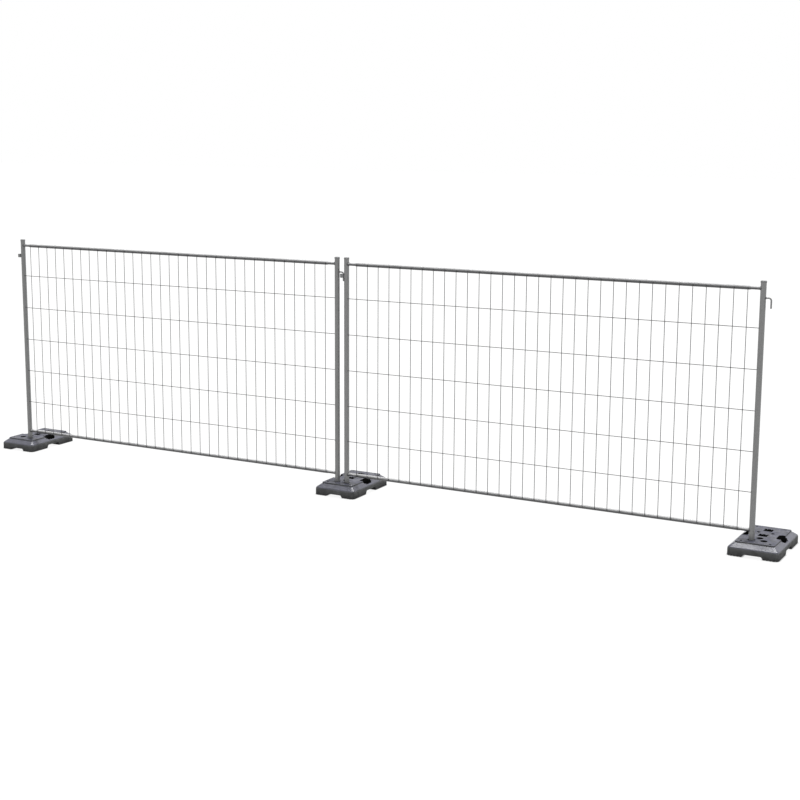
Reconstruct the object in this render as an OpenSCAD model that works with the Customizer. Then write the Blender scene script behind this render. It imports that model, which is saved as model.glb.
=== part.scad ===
// Temporary fence run: two mesh panels hooked together, standing in three moulded feet.
// Millimetres, +Z up, +X along the fence, +Y to the back. The origin is on the ground,
// under the middle of the run and midway along the feet.

/* [Panel frame] */
// Distance from one panel to the next along the fence
panel_pitch = 3500; // [2500:100:3500]
// Distance between the two posts that share a foot
post_spacing = 90; // [88:0.5:92]
// Height of the panel, from the ground to the top of the post caps
panel_height = 1996; // [1950:1:2200]
// Outside diameter of the posts
post_d = 42; // [38:0.5:42]
// Wall of the post tubes
post_wall = 1.5; // [1.2:0.1:3]
// Outside diameter of the rails
rail_d = 30; // [26:1:32]
// Wall of the rail tubes
rail_wall = 1.5; // [1.2:0.1:3]
// Drop from the top of the caps to the axis of the top rail
top_rail_drop = 56; // [40:1:80]
// Distance between the axes of the two rails
rail_span = 1767; // [1500:1:1770]
// Height of the pressed ends of the rails
rail_end_h = 22; // [18:1:26]
// Length of a pressed end, from the post's wall to the round tube
rail_end_l = 80; // [70:1:95]
// Outside diameter of the post caps
cap_d = 45; // [44:0.5:48]
// Height of the post caps
cap_h = 16; // [12:1:20]

/* [Wire mesh] */
// Diameter of the mesh wires
wire_d = 5; // [3:0.5:6]
// Spacing of the vertical wires
wire_pitch = 100; // [80:10:150]
// Number of horizontal wires
row_count = 5; // [3:1:5]
// Spacing of the horizontal wires
row_pitch = 300; // [250:10:300]
// Drop from the top rail's axis to the first horizontal wire
first_row_drop = 283; // [200:1:300]

/* [Hook and eye] */
// Diameter of the hook's bar
hook_d = 12; // [10:0.5:12]
// Distance from the post's axis to the hook's leg
hook_reach = 59.5; // [58:0.5:59.5]
// Drop from the top of the caps to the hook's arm
hook_drop = 123.5; // [110:0.5:160]
// Length of the hook, from the arm's axis to the tip of the leg
hook_leg = 75; // [60:1:100]
// Bend radius of the hook's axis
hook_bend = 18; // [14:1:22]
// Bore of the eye
eye_bore = 33; // [32:0.5:33]
// Wall of the eye
eye_wall = 2.9; // [2.7:0.1:3]
// Distance from the post's axis to the eye's axis
eye_reach = 40.2; // [39.5:0.1:40.2]
// Height of the eye
eye_h = 31; // [25:1:36]
// Gap between the underside of the hook's arm and the top of the eye
eye_gap = 8.5; // [4:0.5:12]

/* [Foot] */
// Width of a foot along the fence
foot_w = 378; // [370:1:400]
// Length of a foot across the fence
foot_l = 600; // [580:5:640]
// Height of a foot
foot_h = 102; // [96:1:120]
// Height of the upright side walls
side_h = 61; // [55:1:72]
// Corner radius of the side walls
corner_r = 34; // [20:1:45]
// Width of the raised top
top_w = 290; // [280:1:300]
// Length of the raised top
top_l = 496; // [480:1:510]
// Height of the raised top's edge
top_step = 10; // [6:1:14]
// Diameter of the post holes
post_hole_d = 48; // [44:0.5:49]
// Distance from the middle of a foot to its post holes
post_offset = 160; // [150:1:170]
// Width of the square sockets
socket_w = 62; // [50:1:70]
// Distance between the two square sockets
socket_pitch = 154; // [140:1:165]
// Diameter of the round socket between the posts and the square sockets
round_socket_d = 46; // [30:1:50]
// Height of the channel under the foot that runs front to back
long_channel_h = 21; // [12:1:24]
// Height of the channel under the foot that runs side to side
cross_channel_h = 30; // [20:1:34]

/* [Hidden] */
$fn = 64;

zinc = [0.49, 0.50, 0.51];
bright_zinc = [0.62, 0.63, 0.65];
weld_grey = [0.36, 0.36, 0.37];
cap_grey = [0.40, 0.41, 0.42];
foot_grey = [0.33, 0.33, 0.37];

// Gap left between pieces that are welded or pushed together, and the set-down of welded wires
seam = 0.05;
set_down = 0.4;
// How far a cut reaches past the face that it opens
past = 1;

LEFT = -panel_pitch / 2;
RIGHT = panel_pitch / 2;
// Half the distance between a panel's two post axes
post_half = (panel_pitch - post_spacing) / 2;
post_y = -post_offset;
post_r = post_d / 2;
cap_top_t = 2;
post_len = panel_height - cap_top_t;
top_rail_z = panel_height - top_rail_drop;
bottom_rail_z = top_rail_z - rail_span;

// A pressed rail end keeps the tube's girth, so it is wider than the tube where it is lower
rail_end_w = rail_end_h + PI * (rail_d - rail_end_h) / 2;
rail_flat_l = 58;
rail_end_x = post_half - post_r;
bead = 3.5;

// The vertical wires lie on the front of the rails, and the horizontal wires behind them
vertical_wire_y = post_y - rail_d / 2 - wire_d / 2 + set_down;
horizontal_wire_y = vertical_wire_y + wire_d - set_down;
wire_end_gap = 80;
wire_count = floor((2 * post_half - 2 * wire_end_gap) / wire_pitch) + 1;
wire_overhang = 4;
row_end = sqrt(pow(post_r, 2) - pow(horizontal_wire_y - post_y, 2)) - set_down;

hook_z = panel_height - hook_drop;
hook_tip = 3;
eye_r = eye_bore / 2 + eye_wall;
eye_z = hook_z - hook_d / 2 - eye_gap - eye_h;
eye_bead_inset = 2;

// Sizes of a foot's lesser features
chamfer_top = foot_h - top_step;
top_corner_r = 10;
channel_slope = 15;
long_channel_w = 158;
cross_channel_w = 172;
grip_in = 103;
grip_out = 160;
grip_l = 124;
grip_corner = 17;
socket_y = -7;
socket_tooth_w = 9;
socket_tooth_d = 16;
socket_tooth_x = 14.5;
round_socket_y = -97;
dimple_d = 18;
dimple_depth = 10;
dimple_x = 106;
dimple_y = 218;
inner_dimple_d = 26;
inner_dimple_x = 52;
inner_dimple_y = 66;
groove_w = 9;
groove_h = 8;
groove_pitch = 23;
groove_first = 96;
groove_count = 4;

// Moves a shape drawn about a post's own axis to a panel's left (-1) or right (+1) post
module at_post(panel, end) {
    translate([panel + end * post_half, post_y, 0])
        children();
}

// A bar or tube lying along X, from x0 to x1
module bar_x(d, x0, x1) {
    translate([x0, 0, 0])
        rotate([0, 90, 0])
            cylinder(d = d, h = x1 - x0);
}

module post_tube() {
    difference() {
        cylinder(d = post_d, h = post_len);
        translate([0, 0, -past])
            cylinder(d = post_d - 2 * post_wall, h = post_len + 2 * past);
    }
}

// Cap: a turned cover with a rounded rim that sits over the end of the post
module post_cap() {
    rim = 4;
    inner_r = post_r + seam;
    translate([0, 0, panel_height - cap_h])
        rotate_extrude()
            difference() {
                union() {
                    square([cap_d / 2, cap_h - rim]);
                    square([cap_d / 2 - rim, cap_h]);
                    translate([cap_d / 2 - rim, cap_h - rim])
                        circle(r = rim);
                }
                translate([0, -past])
                    square([inner_r, cap_h - cap_top_t + past]);
                translate([-cap_d, -past])
                    square([cap_d, cap_h + 2 * past]);
            }
}

// Outline of a low bar with round edges, w wide and h high
function stadium(w, h, steps = 12) = [
    for (side = [0, 180], i = [0 : steps])
        let (a = side - 90 + 180 * i / steps, shift = side == 0 ? (w - h) / 2 : -(w - h) / 2)
            [shift + h / 2 * cos(a), h / 2 * sin(a)]
];

// A pressed rail end along X, grown all round by extra
module flat_bar_x(x0, x1, extra = 0) {
    translate([x0, 0, 0])
        rotate([90, 0, 90])
            linear_extrude(x1 - x0)
                polygon(stadium(rail_end_w + 2 * extra, rail_end_h + 2 * extra));
}

// A rail's shape about the panel's middle, round with ends pressed low, drawn in by inset all round
module rail_shape(inset) {
    slice = 0.5;
    round_d = rail_d - 2 * inset;
    round_x = rail_end_x - rail_end_l;
    flat_x = rail_end_x - rail_flat_l;
    bar_x(round_d, -round_x, round_x);
    for (end = [0, 180])
        rotate([0, 0, end]) {
            hull() {
                bar_x(round_d, round_x - slice, round_x, $fn = 32);
                flat_bar_x(flat_x, flat_x + slice, -inset);
            }
            flat_bar_x(flat_x, post_half, -inset);
        }
}

// Rail of one panel: a hollow tube whose ends are cut to the round of the posts
module rail_tube() {
    difference() {
        rail_shape(0);
        rail_shape(rail_wall);
        for (end = [-1, 1])
            translate([end * post_half, 0, -rail_d])
                cylinder(r = post_r + seam, h = 2 * rail_d);
    }
}

// Bead round one rail end, where it meets the post on the panel's right
module rail_bead() {
    difference() {
        intersection() {
            translate([0, 0, -rail_d])
                cylinder(r = post_r + bead, h = 2 * rail_d);
            flat_bar_x(-post_r - 2 * bead, 0, bead);
        }
        translate([0, 0, -rail_d])
            cylinder(r = post_r, h = 2 * rail_d);
        flat_bar_x(-post_r - 3 * bead, 0);
    }
}

module rail_bead_set(panel) {
    for (z = [top_rail_z, bottom_rail_z], end = [0, 180])
        translate([panel, post_y, z])
            rotate([0, 0, end])
                translate([post_half, 0, 0])
                    rail_bead();
}

module vertical_wire_set(panel) {
    first_x = -(wire_count - 1) / 2 * wire_pitch;
    for (i = [0 : wire_count - 1])
        translate([panel + first_x + i * wire_pitch, vertical_wire_y, bottom_rail_z - wire_overhang])
            cylinder(d = wire_d, h = rail_span + 2 * wire_overhang, $fn = 24);
}

module horizontal_wire_set(panel) {
    reach = post_half - row_end;
    for (i = [0 : row_count - 1])
        translate([panel, horizontal_wire_y, top_rail_z - first_row_drop - i * row_pitch])
            bar_x(wire_d, -reach, reach, $fn = 24);
}

// Hook: a round bar that stands out of the right post, bends down and ends in a blunt tip
module hook_bar() {
    difference() {
        translate([0, 0, hook_z]) {
            bar_x(hook_d, 0, hook_reach - hook_bend);
            translate([hook_reach - hook_bend, 0, -hook_bend])
                rotate([90, 0, 0])
                    rotate_extrude(angle = 90)
                        translate([hook_bend, 0])
                            circle(d = hook_d);
            translate([hook_reach, 0, -hook_leg + hook_tip])
                cylinder(d = hook_d, h = hook_leg - hook_tip - hook_bend);
            translate([hook_reach, 0, -hook_leg])
                cylinder(d1 = hook_d - 2 * hook_tip, d2 = hook_d, h = hook_tip);
        }
        cylinder(r = post_r + seam, h = panel_height);
    }
}

// Eye: a short upright piece of tube on the outer side of the left post
module eye_ring() {
    difference() {
        translate([-eye_reach, 0, eye_z])
            cylinder(r = eye_r, h = eye_h);
        translate([-eye_reach, 0, eye_z - past])
            cylinder(d = eye_bore, h = eye_h + 2 * past);
        cylinder(r = post_r + seam, h = panel_height);
    }
}

// Beads that hold a hook, drawn about its post's axis
module hook_bead() {
    reach = post_r + 2 * bead;
    difference() {
        intersection() {
            cylinder(r = post_r + bead, h = panel_height);
            translate([0, 0, hook_z])
                bar_x(hook_d + 2 * bead, 0, reach);
        }
        cylinder(r = post_r, h = panel_height);
        translate([0, 0, hook_z])
            bar_x(hook_d, 0, reach + bead);
    }
}

// Upright beads in the two corners between an eye and its post
module eye_beads() {
    h = eye_h - 2 * eye_bead_inset;
    translate([0, 0, eye_z + eye_bead_inset])
        difference() {
            intersection() {
                cylinder(r = post_r + bead, h = h);
                translate([-eye_reach, 0, 0])
                    cylinder(r = eye_r + bead, h = h);
            }
            translate([0, 0, -past])
                cylinder(r = post_r, h = h + 2 * past);
            translate([-eye_reach, 0, -past])
                cylinder(r = eye_r, h = h + 2 * past);
        }
}

// Upright block with round corners
module round_block(w, l, h, r) {
    for (x = [-1, 1], y = [-1, 1])
        translate([x * (w / 2 - r), y * (l / 2 - r), 0])
            cylinder(r = r, h = h);
    translate([-w / 2, -l / 2 + r, 0])
        cube([w, l - 2 * r, h]);
    translate([-w / 2 + r, -l / 2, 0])
        cube([w - 2 * r, l, h]);
}

// Channel under a foot with sloping sides, running along Y
module channel(w, h, run) {
    translate([0, run / 2, 0])
        rotate([90, 0, 0])
            linear_extrude(run)
                polygon([[-w / 2 - past, -past], [w / 2 + past, -past], [w / 2, 0],
                         [w / 2 - channel_slope, h], [-w / 2 + channel_slope, h], [-w / 2, 0]]);
}

// Hand grip through one long side of a foot
module grip_cut() {
    half = grip_l / 2;
    linear_extrude(foot_h + past)
        polygon([[grip_in, half - grip_corner], [grip_in + grip_corner, half], [grip_out, half],
                 [grip_out, -half], [grip_in + grip_corner, -half], [grip_in, -half + grip_corner]]);
}

// Square socket with two teeth on its back wall
module socket_cut() {
    difference() {
        translate([-socket_w / 2, -socket_w / 2, 0])
            cube([socket_w, socket_w, foot_h + past]);
        for (x = [-1, 1])
            translate([x * socket_tooth_x - socket_tooth_w / 2, socket_w / 2 - socket_tooth_d, -past])
                cube([socket_tooth_w, socket_tooth_d + past, foot_h + 3 * past]);
    }
}

// Foot: a moulded block with upright walls, sloping shoulders and a raised top, standing on four
// grooved pads, with holes for two posts, sockets for other posts and a hand grip on each side
module foot_block() {
    slice = 0.2;
    difference() {
        union() {
            round_block(foot_w, foot_l, side_h, corner_r);
            hull() {
                translate([0, 0, side_h - slice])
                    round_block(foot_w, foot_l, slice, corner_r, $fn = 32);
                translate([0, 0, chamfer_top - slice])
                    round_block(top_w, top_l, slice, top_corner_r, $fn = 32);
            }
            translate([0, 0, side_h])
                round_block(top_w, top_l, foot_h - side_h, top_corner_r);
        }
        channel(long_channel_w, long_channel_h, foot_l + 2 * past);
        rotate([0, 0, 90])
            channel(cross_channel_w, cross_channel_h, foot_w + 2 * past);
        for (x = [-1, 1])
            translate([x * post_spacing / 2, -post_offset, -past])
                cylinder(d = post_hole_d, h = foot_h + 2 * past);
        translate([0, round_socket_y, -past])
            cylinder(d = round_socket_d, h = foot_h + 2 * past);
        for (y = [socket_y, socket_y + socket_pitch])
            translate([0, y, 0])
                socket_cut();
        for (end = [0, 180])
            rotate([0, 0, end])
                grip_cut();
        for (x = [-1, 1], y = [-1, 1])
            translate([x * dimple_x, y * dimple_y, foot_h - dimple_depth])
                cylinder(d = dimple_d, h = dimple_depth + past);
        for (x = [-1, 1])
            translate([x * inner_dimple_x, inner_dimple_y, foot_h - dimple_depth])
                cylinder(d = inner_dimple_d, h = dimple_depth + past);
        for (x = [-1, 1], i = [0 : groove_count - 1])
            translate([x * (groove_first + i * groove_pitch) - groove_w / 2, -foot_l / 2 - past, -past])
                cube([groove_w, foot_l + 2 * past, groove_h + past]);
    }
}

module left_panel_left_post() {
    color(zinc) at_post(LEFT, -1) post_tube();
}

module left_panel_right_post() {
    color(zinc) at_post(LEFT, 1) post_tube();
}

module left_panel_top_rail() {
    color(bright_zinc) translate([LEFT, post_y, top_rail_z]) rail_tube();
}

module left_panel_bottom_rail() {
    color(bright_zinc) translate([LEFT, post_y, bottom_rail_z]) rail_tube();
}

module left_panel_vertical_wires() {
    color(bright_zinc) vertical_wire_set(LEFT);
}

module left_panel_horizontal_wires() {
    color(bright_zinc) horizontal_wire_set(LEFT);
}

module left_panel_hook() {
    color(zinc) at_post(LEFT, 1) hook_bar();
}

module left_panel_eye() {
    color(zinc) at_post(LEFT, -1) eye_ring();
}

module left_panel_post_caps() {
    color(cap_grey) for (end = [-1, 1]) at_post(LEFT, end) post_cap();
}

module left_panel_rail_welds() {
    color(weld_grey) rail_bead_set(LEFT);
}

module left_panel_coupling_welds() {
    color(weld_grey) {
        at_post(LEFT, 1) hook_bead();
        at_post(LEFT, -1) eye_beads();
    }
}

module right_panel_left_post() {
    color(zinc) at_post(RIGHT, -1) post_tube();
}

module right_panel_right_post() {
    color(zinc) at_post(RIGHT, 1) post_tube();
}

module right_panel_top_rail() {
    color(bright_zinc) translate([RIGHT, post_y, top_rail_z]) rail_tube();
}

module right_panel_bottom_rail() {
    color(bright_zinc) translate([RIGHT, post_y, bottom_rail_z]) rail_tube();
}

module right_panel_vertical_wires() {
    color(bright_zinc) vertical_wire_set(RIGHT);
}

module right_panel_horizontal_wires() {
    color(bright_zinc) horizontal_wire_set(RIGHT);
}

module right_panel_hook() {
    color(zinc) at_post(RIGHT, 1) hook_bar();
}

module right_panel_eye() {
    color(zinc) at_post(RIGHT, -1) eye_ring();
}

module right_panel_post_caps() {
    color(cap_grey) for (end = [-1, 1]) at_post(RIGHT, end) post_cap();
}

module right_panel_rail_welds() {
    color(weld_grey) rail_bead_set(RIGHT);
}

module right_panel_coupling_welds() {
    color(weld_grey) {
        at_post(RIGHT, 1) hook_bead();
        at_post(RIGHT, -1) eye_beads();
    }
}

module left_foot() {
    color(foot_grey) translate([-panel_pitch, 0, 0]) foot_block();
}

module middle_foot() {
    color(foot_grey) foot_block();
}

module right_foot() {
    color(foot_grey) translate([panel_pitch, 0, 0]) foot_block();
}

left_panel_left_post();
left_panel_right_post();
left_panel_top_rail();
left_panel_bottom_rail();
left_panel_vertical_wires();
left_panel_horizontal_wires();
left_panel_hook();
left_panel_eye();
left_panel_post_caps();
left_panel_rail_welds();
left_panel_coupling_welds();
right_panel_left_post();
right_panel_right_post();
right_panel_top_rail();
right_panel_bottom_rail();
right_panel_vertical_wires();
right_panel_horizontal_wires();
right_panel_hook();
right_panel_eye();
right_panel_post_caps();
right_panel_rail_welds();
right_panel_coupling_welds();
left_foot();
middle_foot();
right_foot();
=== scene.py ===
"""Looks of a temporary fence run: two wire mesh panels hooked together, standing in three moulded feet.

Metres, +Z up, +X along the fence, +Y to the back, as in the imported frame.
"""

import math
import random

import bmesh
import bpy
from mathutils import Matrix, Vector


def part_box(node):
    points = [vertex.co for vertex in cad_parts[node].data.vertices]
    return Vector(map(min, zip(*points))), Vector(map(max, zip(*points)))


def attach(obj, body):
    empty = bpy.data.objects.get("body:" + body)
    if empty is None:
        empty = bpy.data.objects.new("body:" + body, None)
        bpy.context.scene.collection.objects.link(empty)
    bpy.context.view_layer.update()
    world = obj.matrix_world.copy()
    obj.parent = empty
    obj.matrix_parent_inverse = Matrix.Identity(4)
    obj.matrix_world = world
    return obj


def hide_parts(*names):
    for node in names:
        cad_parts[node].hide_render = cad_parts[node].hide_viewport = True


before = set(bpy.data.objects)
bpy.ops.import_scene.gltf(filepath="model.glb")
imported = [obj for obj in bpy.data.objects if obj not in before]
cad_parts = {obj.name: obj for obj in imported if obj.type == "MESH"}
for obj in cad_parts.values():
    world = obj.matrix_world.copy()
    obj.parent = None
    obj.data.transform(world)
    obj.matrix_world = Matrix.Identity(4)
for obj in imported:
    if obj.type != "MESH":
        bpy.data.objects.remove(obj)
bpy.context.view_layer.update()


# Feet
# Each foot is one heavy block moulded from ground-up recycled plastic, dark grey and mottled. Posts drop
# loosely into the round holes at the front, the sockets take other posts, and hands lift it by the grips
# in its long sides. It stands on four grooved pads and nothing fixes it to the ground.
MM = 0.001
FEET = ("left_foot", "middle_foot", "right_foot")
foot_low, foot_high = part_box("middle_foot")
FOOT_HALF_W = (foot_high.x - foot_low.x) / 2
FOOT_HALF_L = (foot_high.y - foot_low.y) / 2
FOOT_H = foot_high.z
SIDE_H = 61 * MM
SIDE_CORNER = 34 * MM
TOP_HALF_W = 145 * MM
TOP_HALF_L = 248 * MM
TOP_CORNER = 10 * MM
TOP_STEP = 10 * MM
BOTTOM_ROUND = 3 * MM
SHOULDER_ROUND = 12 * MM
STEP_ROUND = 2 * MM
TOP_ROUND = 3 * MM
POST_X = 45 * MM
POST_Y = -160 * MM
POST_HOLE_R = 24 * MM
ROUND_SOCKET_Y = -97 * MM
ROUND_SOCKET_R = 23 * MM
SOCKET_HALF = 31 * MM
SOCKETS_Y = (-7 * MM, 147 * MM)
SOCKET_TOOTH_X = 14.5 * MM
SOCKET_TOOTH_HALF = 4.5 * MM
SOCKET_TOOTH_DEPTH = 16 * MM
GRIP_IN = 103 * MM
GRIP_OUT = 160 * MM
GRIP_HALF = 62 * MM
GRIP_CORNER = 17 * MM
GRIP_ROUND = 5 * MM
GRIP_END_ROUND = 9 * MM
HANDLE_ROUND = 10 * MM
HOLE_MOUTH = 2 * MM
DIMPLE_DEPTH = 10 * MM
LONG_CHANNEL = (79 * MM, 21 * MM)
CROSS_CHANNEL = (86 * MM, 30 * MM)
PAST = 2 * MM


def soften(corners, steps=4):
    """Points along a path of corners (x, y, reach), each rounded off from reach before it to reach after it."""
    points = []
    for i, (x, y, reach) in enumerate(corners):
        corner = Vector((x, y))
        if not reach:
            points.append(corner)
            continue
        start = corner + (Vector(corners[i - 1][:2]) - corner).normalized() * reach
        end = corner + (Vector(corners[(i + 1) % len(corners)][:2]) - corner).normalized() * reach
        for k in range(steps + 1):
            t = k / steps
            points.append(start * (1 - t) ** 2 + corner * 2 * t * (1 - t) + end * t ** 2)
    return points


def round_corners(half_w, half_l, radius, steps=8):
    """Outline of a rectangle with round corners, seen from above, counter-clockwise."""
    points = []
    for x, y, start in ((1, 1, 0), (-1, 1, 90), (-1, -1, 180), (1, -1, 270)):
        for k in range(steps):
            turn = math.radians(start + 90 * (k + 0.5) / steps)
            points.append(((half_w - radius) * x + radius * math.cos(turn),
                           (half_l - radius) * y + radius * math.sin(turn)))
    return points


def skin(bm, rings, loop=False):
    """Faces between rings of points that have the same count. Open ends are closed with one face each."""
    rows = [[bm.verts.new(point) for point in ring] for ring in rings]
    pairs = list(zip(rows, rows[1:])) + ([(rows[-1], rows[0])] if loop else [])
    for low, high in pairs:
        for i in range(len(low)):
            j = (i + 1) % len(low)
            bm.faces.new((low[i], low[j], high[j], high[i]))
    if not loop:
        bm.faces.new(rows[0][::-1])
        bm.faces.new(rows[-1])


def as_mesh(bm, name):
    """Turns the drawn faces into a mesh with all its faces turned outwards."""
    bmesh.ops.recalc_face_normals(bm, faces=bm.faces)
    mesh = bpy.data.meshes.new(name)
    bm.to_mesh(mesh)
    bm.free()
    return mesh


def foot_block():
    """The block before it is cut: upright walls, sloping shoulders and a raised top, all edges rounded."""
    run = FOOT_HALF_L - TOP_HALF_L
    under, onto_top, least_corner = 4 * MM, 6 * MM, 5 * MM
    profile = soften([(under, 0, 0), (0, 0, BOTTOM_ROUND), (0, SIDE_H, SHOULDER_ROUND),
                      (run, FOOT_H - TOP_STEP, STEP_ROUND), (run, FOOT_H, TOP_ROUND),
                      (run + onto_top, FOOT_H, 0)])
    rings = []
    for inset, z in profile:
        share = inset / run
        half_w = FOOT_HALF_W + (TOP_HALF_W - FOOT_HALF_W) * share
        half_l = FOOT_HALF_L - inset
        corner = max(SIDE_CORNER + (TOP_CORNER - SIDE_CORNER) * share, least_corner)
        rings.append([(x, y, z) for x, y in round_corners(half_w, half_l, corner)])
    bm = bmesh.new()
    skin(bm, rings)
    return as_mesh(bm, "foot_block")


def hole_rings(x, y, outline):
    """Rings of a hole from below the foot to above it, with a rounded mouth; outline(grow) is its edge."""
    mouth = [(HOLE_MOUTH * (1 - math.cos(turn)), FOOT_H - HOLE_MOUTH * (1 - math.sin(turn)))
             for turn in (0, math.pi / 6, math.pi / 3, math.pi / 2)]
    rows = [(0, -PAST), *mouth, (HOLE_MOUTH, FOOT_H + PAST)]
    return [[(x + px, y + py, z) for px, py in outline(grow)] for grow, z in rows]


def toothed_outline(grow):
    """Edge of a square socket with two teeth on its back wall."""
    half = SOCKET_HALF + grow
    flank = 1 * MM
    back = []
    for middle in (SOCKET_TOOTH_X, -SOCKET_TOOTH_X):
        wide = SOCKET_TOOTH_HALF - grow
        back += [(middle + wide + flank, half), (middle + wide, half - SOCKET_TOOTH_DEPTH),
                 (middle - wide, half - SOCKET_TOOTH_DEPTH), (middle - wide - flank, half)]
    return [(half, half), *back, (-half, half), (-half, -half), (half, -half)]


def grip_outline(flare):
    """Edge of the right-hand grip; flare moves its outer side out, most in the middle where a hand takes it."""
    inner = GRIP_HALF - GRIP_CORNER
    straight = GRIP_HALF - 10 * MM
    steps = 6
    bar = [(GRIP_OUT + flare * (1 - (k / steps) ** 4), straight * k / steps, 0) for k in range(-steps, steps + 1)]
    return soften([(GRIP_IN, -inner, GRIP_ROUND), (GRIP_IN + GRIP_CORNER, -GRIP_HALF, GRIP_ROUND),
                   (GRIP_OUT, -GRIP_HALF, GRIP_END_ROUND), *bar, (GRIP_OUT, GRIP_HALF, GRIP_END_ROUND),
                   (GRIP_IN + GRIP_CORNER, GRIP_HALF, GRIP_ROUND), (GRIP_IN, inner, GRIP_ROUND)])


def grip_rings():
    """Rings of a grip from below the foot to above it; the bar outside it is rounded up to its sloping top."""
    slope = math.atan2(FOOT_H - TOP_STEP - SIDE_H, FOOT_HALF_W - TOP_HALF_W)
    edge_z = SIDE_H + (FOOT_HALF_W - GRIP_OUT) * math.tan(slope)
    centre_z = edge_z - HANDLE_ROUND * (1 + math.sin(slope)) / math.cos(slope)
    rows = [(0, -PAST)]
    for turn in range(180, 59, -15):
        angle = math.radians(turn)
        rows.append((HANDLE_ROUND * (1 + math.cos(angle)), centre_z + HANDLE_ROUND * math.sin(angle)))
    rows.append((rows[-1][0], FOOT_H + PAST))
    return [[(x, y, z) for x, y in grip_outline(flare)] for flare, z in rows]


def foot_holes():
    """Everything that opens in the top of a foot: post holes, sockets, hand grips and dimples."""
    bm = bmesh.new()
    for x in (-POST_X, POST_X):
        skin(bm, hole_rings(x, POST_Y, lambda grow: round_corners(*[POST_HOLE_R + grow] * 3)))
    skin(bm, hole_rings(0, ROUND_SOCKET_Y, lambda grow: round_corners(*[ROUND_SOCKET_R + grow] * 3)))
    for y in SOCKETS_Y:
        skin(bm, hole_rings(0, y, toothed_outline))
    for side in (1, -1):
        skin(bm, [[(side * x, side * y, z) for x, y, z in ring] for ring in grip_rings()])
    # The walls of the holes take the painted hole shade; only the rounded handle faces outside the grips keep the
    # foot's own plastic.
    handle_from = GRIP_OUT + 0.1 * MM
    for face in bm.faces:
        if abs(face.calc_center_median().x) > handle_from:
            face.material_index = 1
    dimples = [(x * 106 * MM, y * 218 * MM, 9 * MM) for x in (-1, 1) for y in (-1, 1)]
    dimples += [(x * 52 * MM, 66 * MM, 13 * MM) for x in (-1, 1)]
    for x, y, dimple_r in dimples:
        rows = [(0.6, FOOT_H - DIMPLE_DEPTH), (0.9, FOOT_H - 0.8 * DIMPLE_DEPTH),
                (1, FOOT_H - 0.3 * DIMPLE_DEPTH), (1.1, FOOT_H), (1.1, FOOT_H + PAST)]
        skin(bm, [[(x + px, y + py, z) for px, py in round_corners(*[dimple_r * size] * 3, 4)]
                  for size, z in rows])
    return as_mesh(bm, "foot_holes")


def channel(half, height, reach, along_x):
    """A channel under the foot with sloping sides, running along X or along Y."""
    slope = 15 * MM
    roof_round = 4 * MM
    section = soften([(-half - PAST, -PAST, 0), (half + PAST, -PAST, 0), (half, 0, 0),
                      (half - slope, height, roof_round), (slope - half, height, roof_round), (-half, 0, 0)])
    bm = bmesh.new()
    skin(bm, [[(run, x, z) if along_x else (x, run, z) for x, z in section] for run in (-reach, reach)])
    return as_mesh(bm, "channel")


def tread_grooves():
    """Narrow grooves that run front to back under the four pads."""
    bm = bmesh.new()
    half = 4.5 * MM
    depth = 8 * MM
    reach = FOOT_HALF_L + PAST
    first, pitch, count = 96, 23, 4
    for side in (-1, 1):
        for i in range(count):
            x = side * (first + pitch * i) * MM
            section = [(x - half - MM, -PAST), (x + half + MM, -PAST), (x + half - MM, depth),
                       (x - half + MM, depth)]
            skin(bm, [[(px, run, z) for px, z in section] for run in (-reach, reach)])
    return as_mesh(bm, "tread_grooves")


def cut_away(block, cutters, material, shade_lining):
    """The block's mesh with each cutter taken out of it in turn; the last one leaves its own two materials."""
    held = bpy.data.objects.new("block", block)
    tools = [bpy.data.objects.new(cutter.name, cutter) for cutter in cutters]
    block.materials.append(material)
    cutters[-1].materials.append(shade_lining)
    cutters[-1].materials.append(material)
    for thing in (held, *tools):
        bpy.context.scene.collection.objects.link(thing)
    for tool in tools:
        cut = held.modifiers.new(tool.name, "BOOLEAN")
        cut.operation = "DIFFERENCE"
        cut.solver = "EXACT"
        cut.material_mode = "TRANSFER"
        cut.object = tool
    view = bpy.context.evaluated_depsgraph_get()
    mesh = bpy.data.meshes.new_from_object(held.evaluated_get(view))
    for thing in (held, *tools):
        bpy.data.objects.remove(thing)
    return mesh


def smooth(mesh, angle=35):
    """Shades a mesh smooth, apart from edges sharper than the angle in degrees."""
    mesh.shade_smooth()
    mesh.set_sharp_from_angle(angle=math.radians(angle))
    return mesh


def add_piece(name, mesh, body, slot, material, *stands_for):
    """Puts a finished piece on its body, in place of the plain solids that it stands for."""
    piece = bpy.data.objects.new(name, mesh)
    bpy.context.scene.collection.objects.link(piece)
    if not mesh.materials:
        mesh.materials.append(material)
    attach(piece, body)
    if stands_for:
        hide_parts(*stands_for)
    return piece


def place(tree, kind, values=(), **options):
    """Adds a node. Values fill its inputs with numbers, colours or the outputs of other nodes."""
    node = tree.nodes.new(kind)
    for option, setting in options.items():
        setattr(node, option, setting)
    for socket, value in dict(values).items():
        if isinstance(value, bpy.types.NodeSocket):
            tree.links.new(value, node.inputs[socket])
        else:
            node.inputs[socket].default_value = value
    return node


def mix_colours(tree, share, first, second):
    """A colour between two, by share."""
    return place(tree, "ShaderNodeMix", {0: share, 6: first, 7: second}, data_type="RGBA").outputs[2]


def mix_values(tree, share, first, second):
    """A number between two, by share."""
    return place(tree, "ShaderNodeMix", {0: share, 2: first, 3: second}).outputs[0]


def maths(tree, what, first, second=0.0, third=0.0):
    """One sum on values that change over the surface."""
    return place(tree, "ShaderNodeMath", {0: first, 1: second, 2: third}, operation=what).outputs[0]


def stretch(tree, value, low, high, to_low=0.0, to_high=1.0):
    """Spreads the values from low to high over another range, and holds them there."""
    node = place(tree, "ShaderNodeMapRange", {0: value, 1: low, 2: high, 3: to_low, 4: to_high})
    return node.outputs[0]


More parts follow.
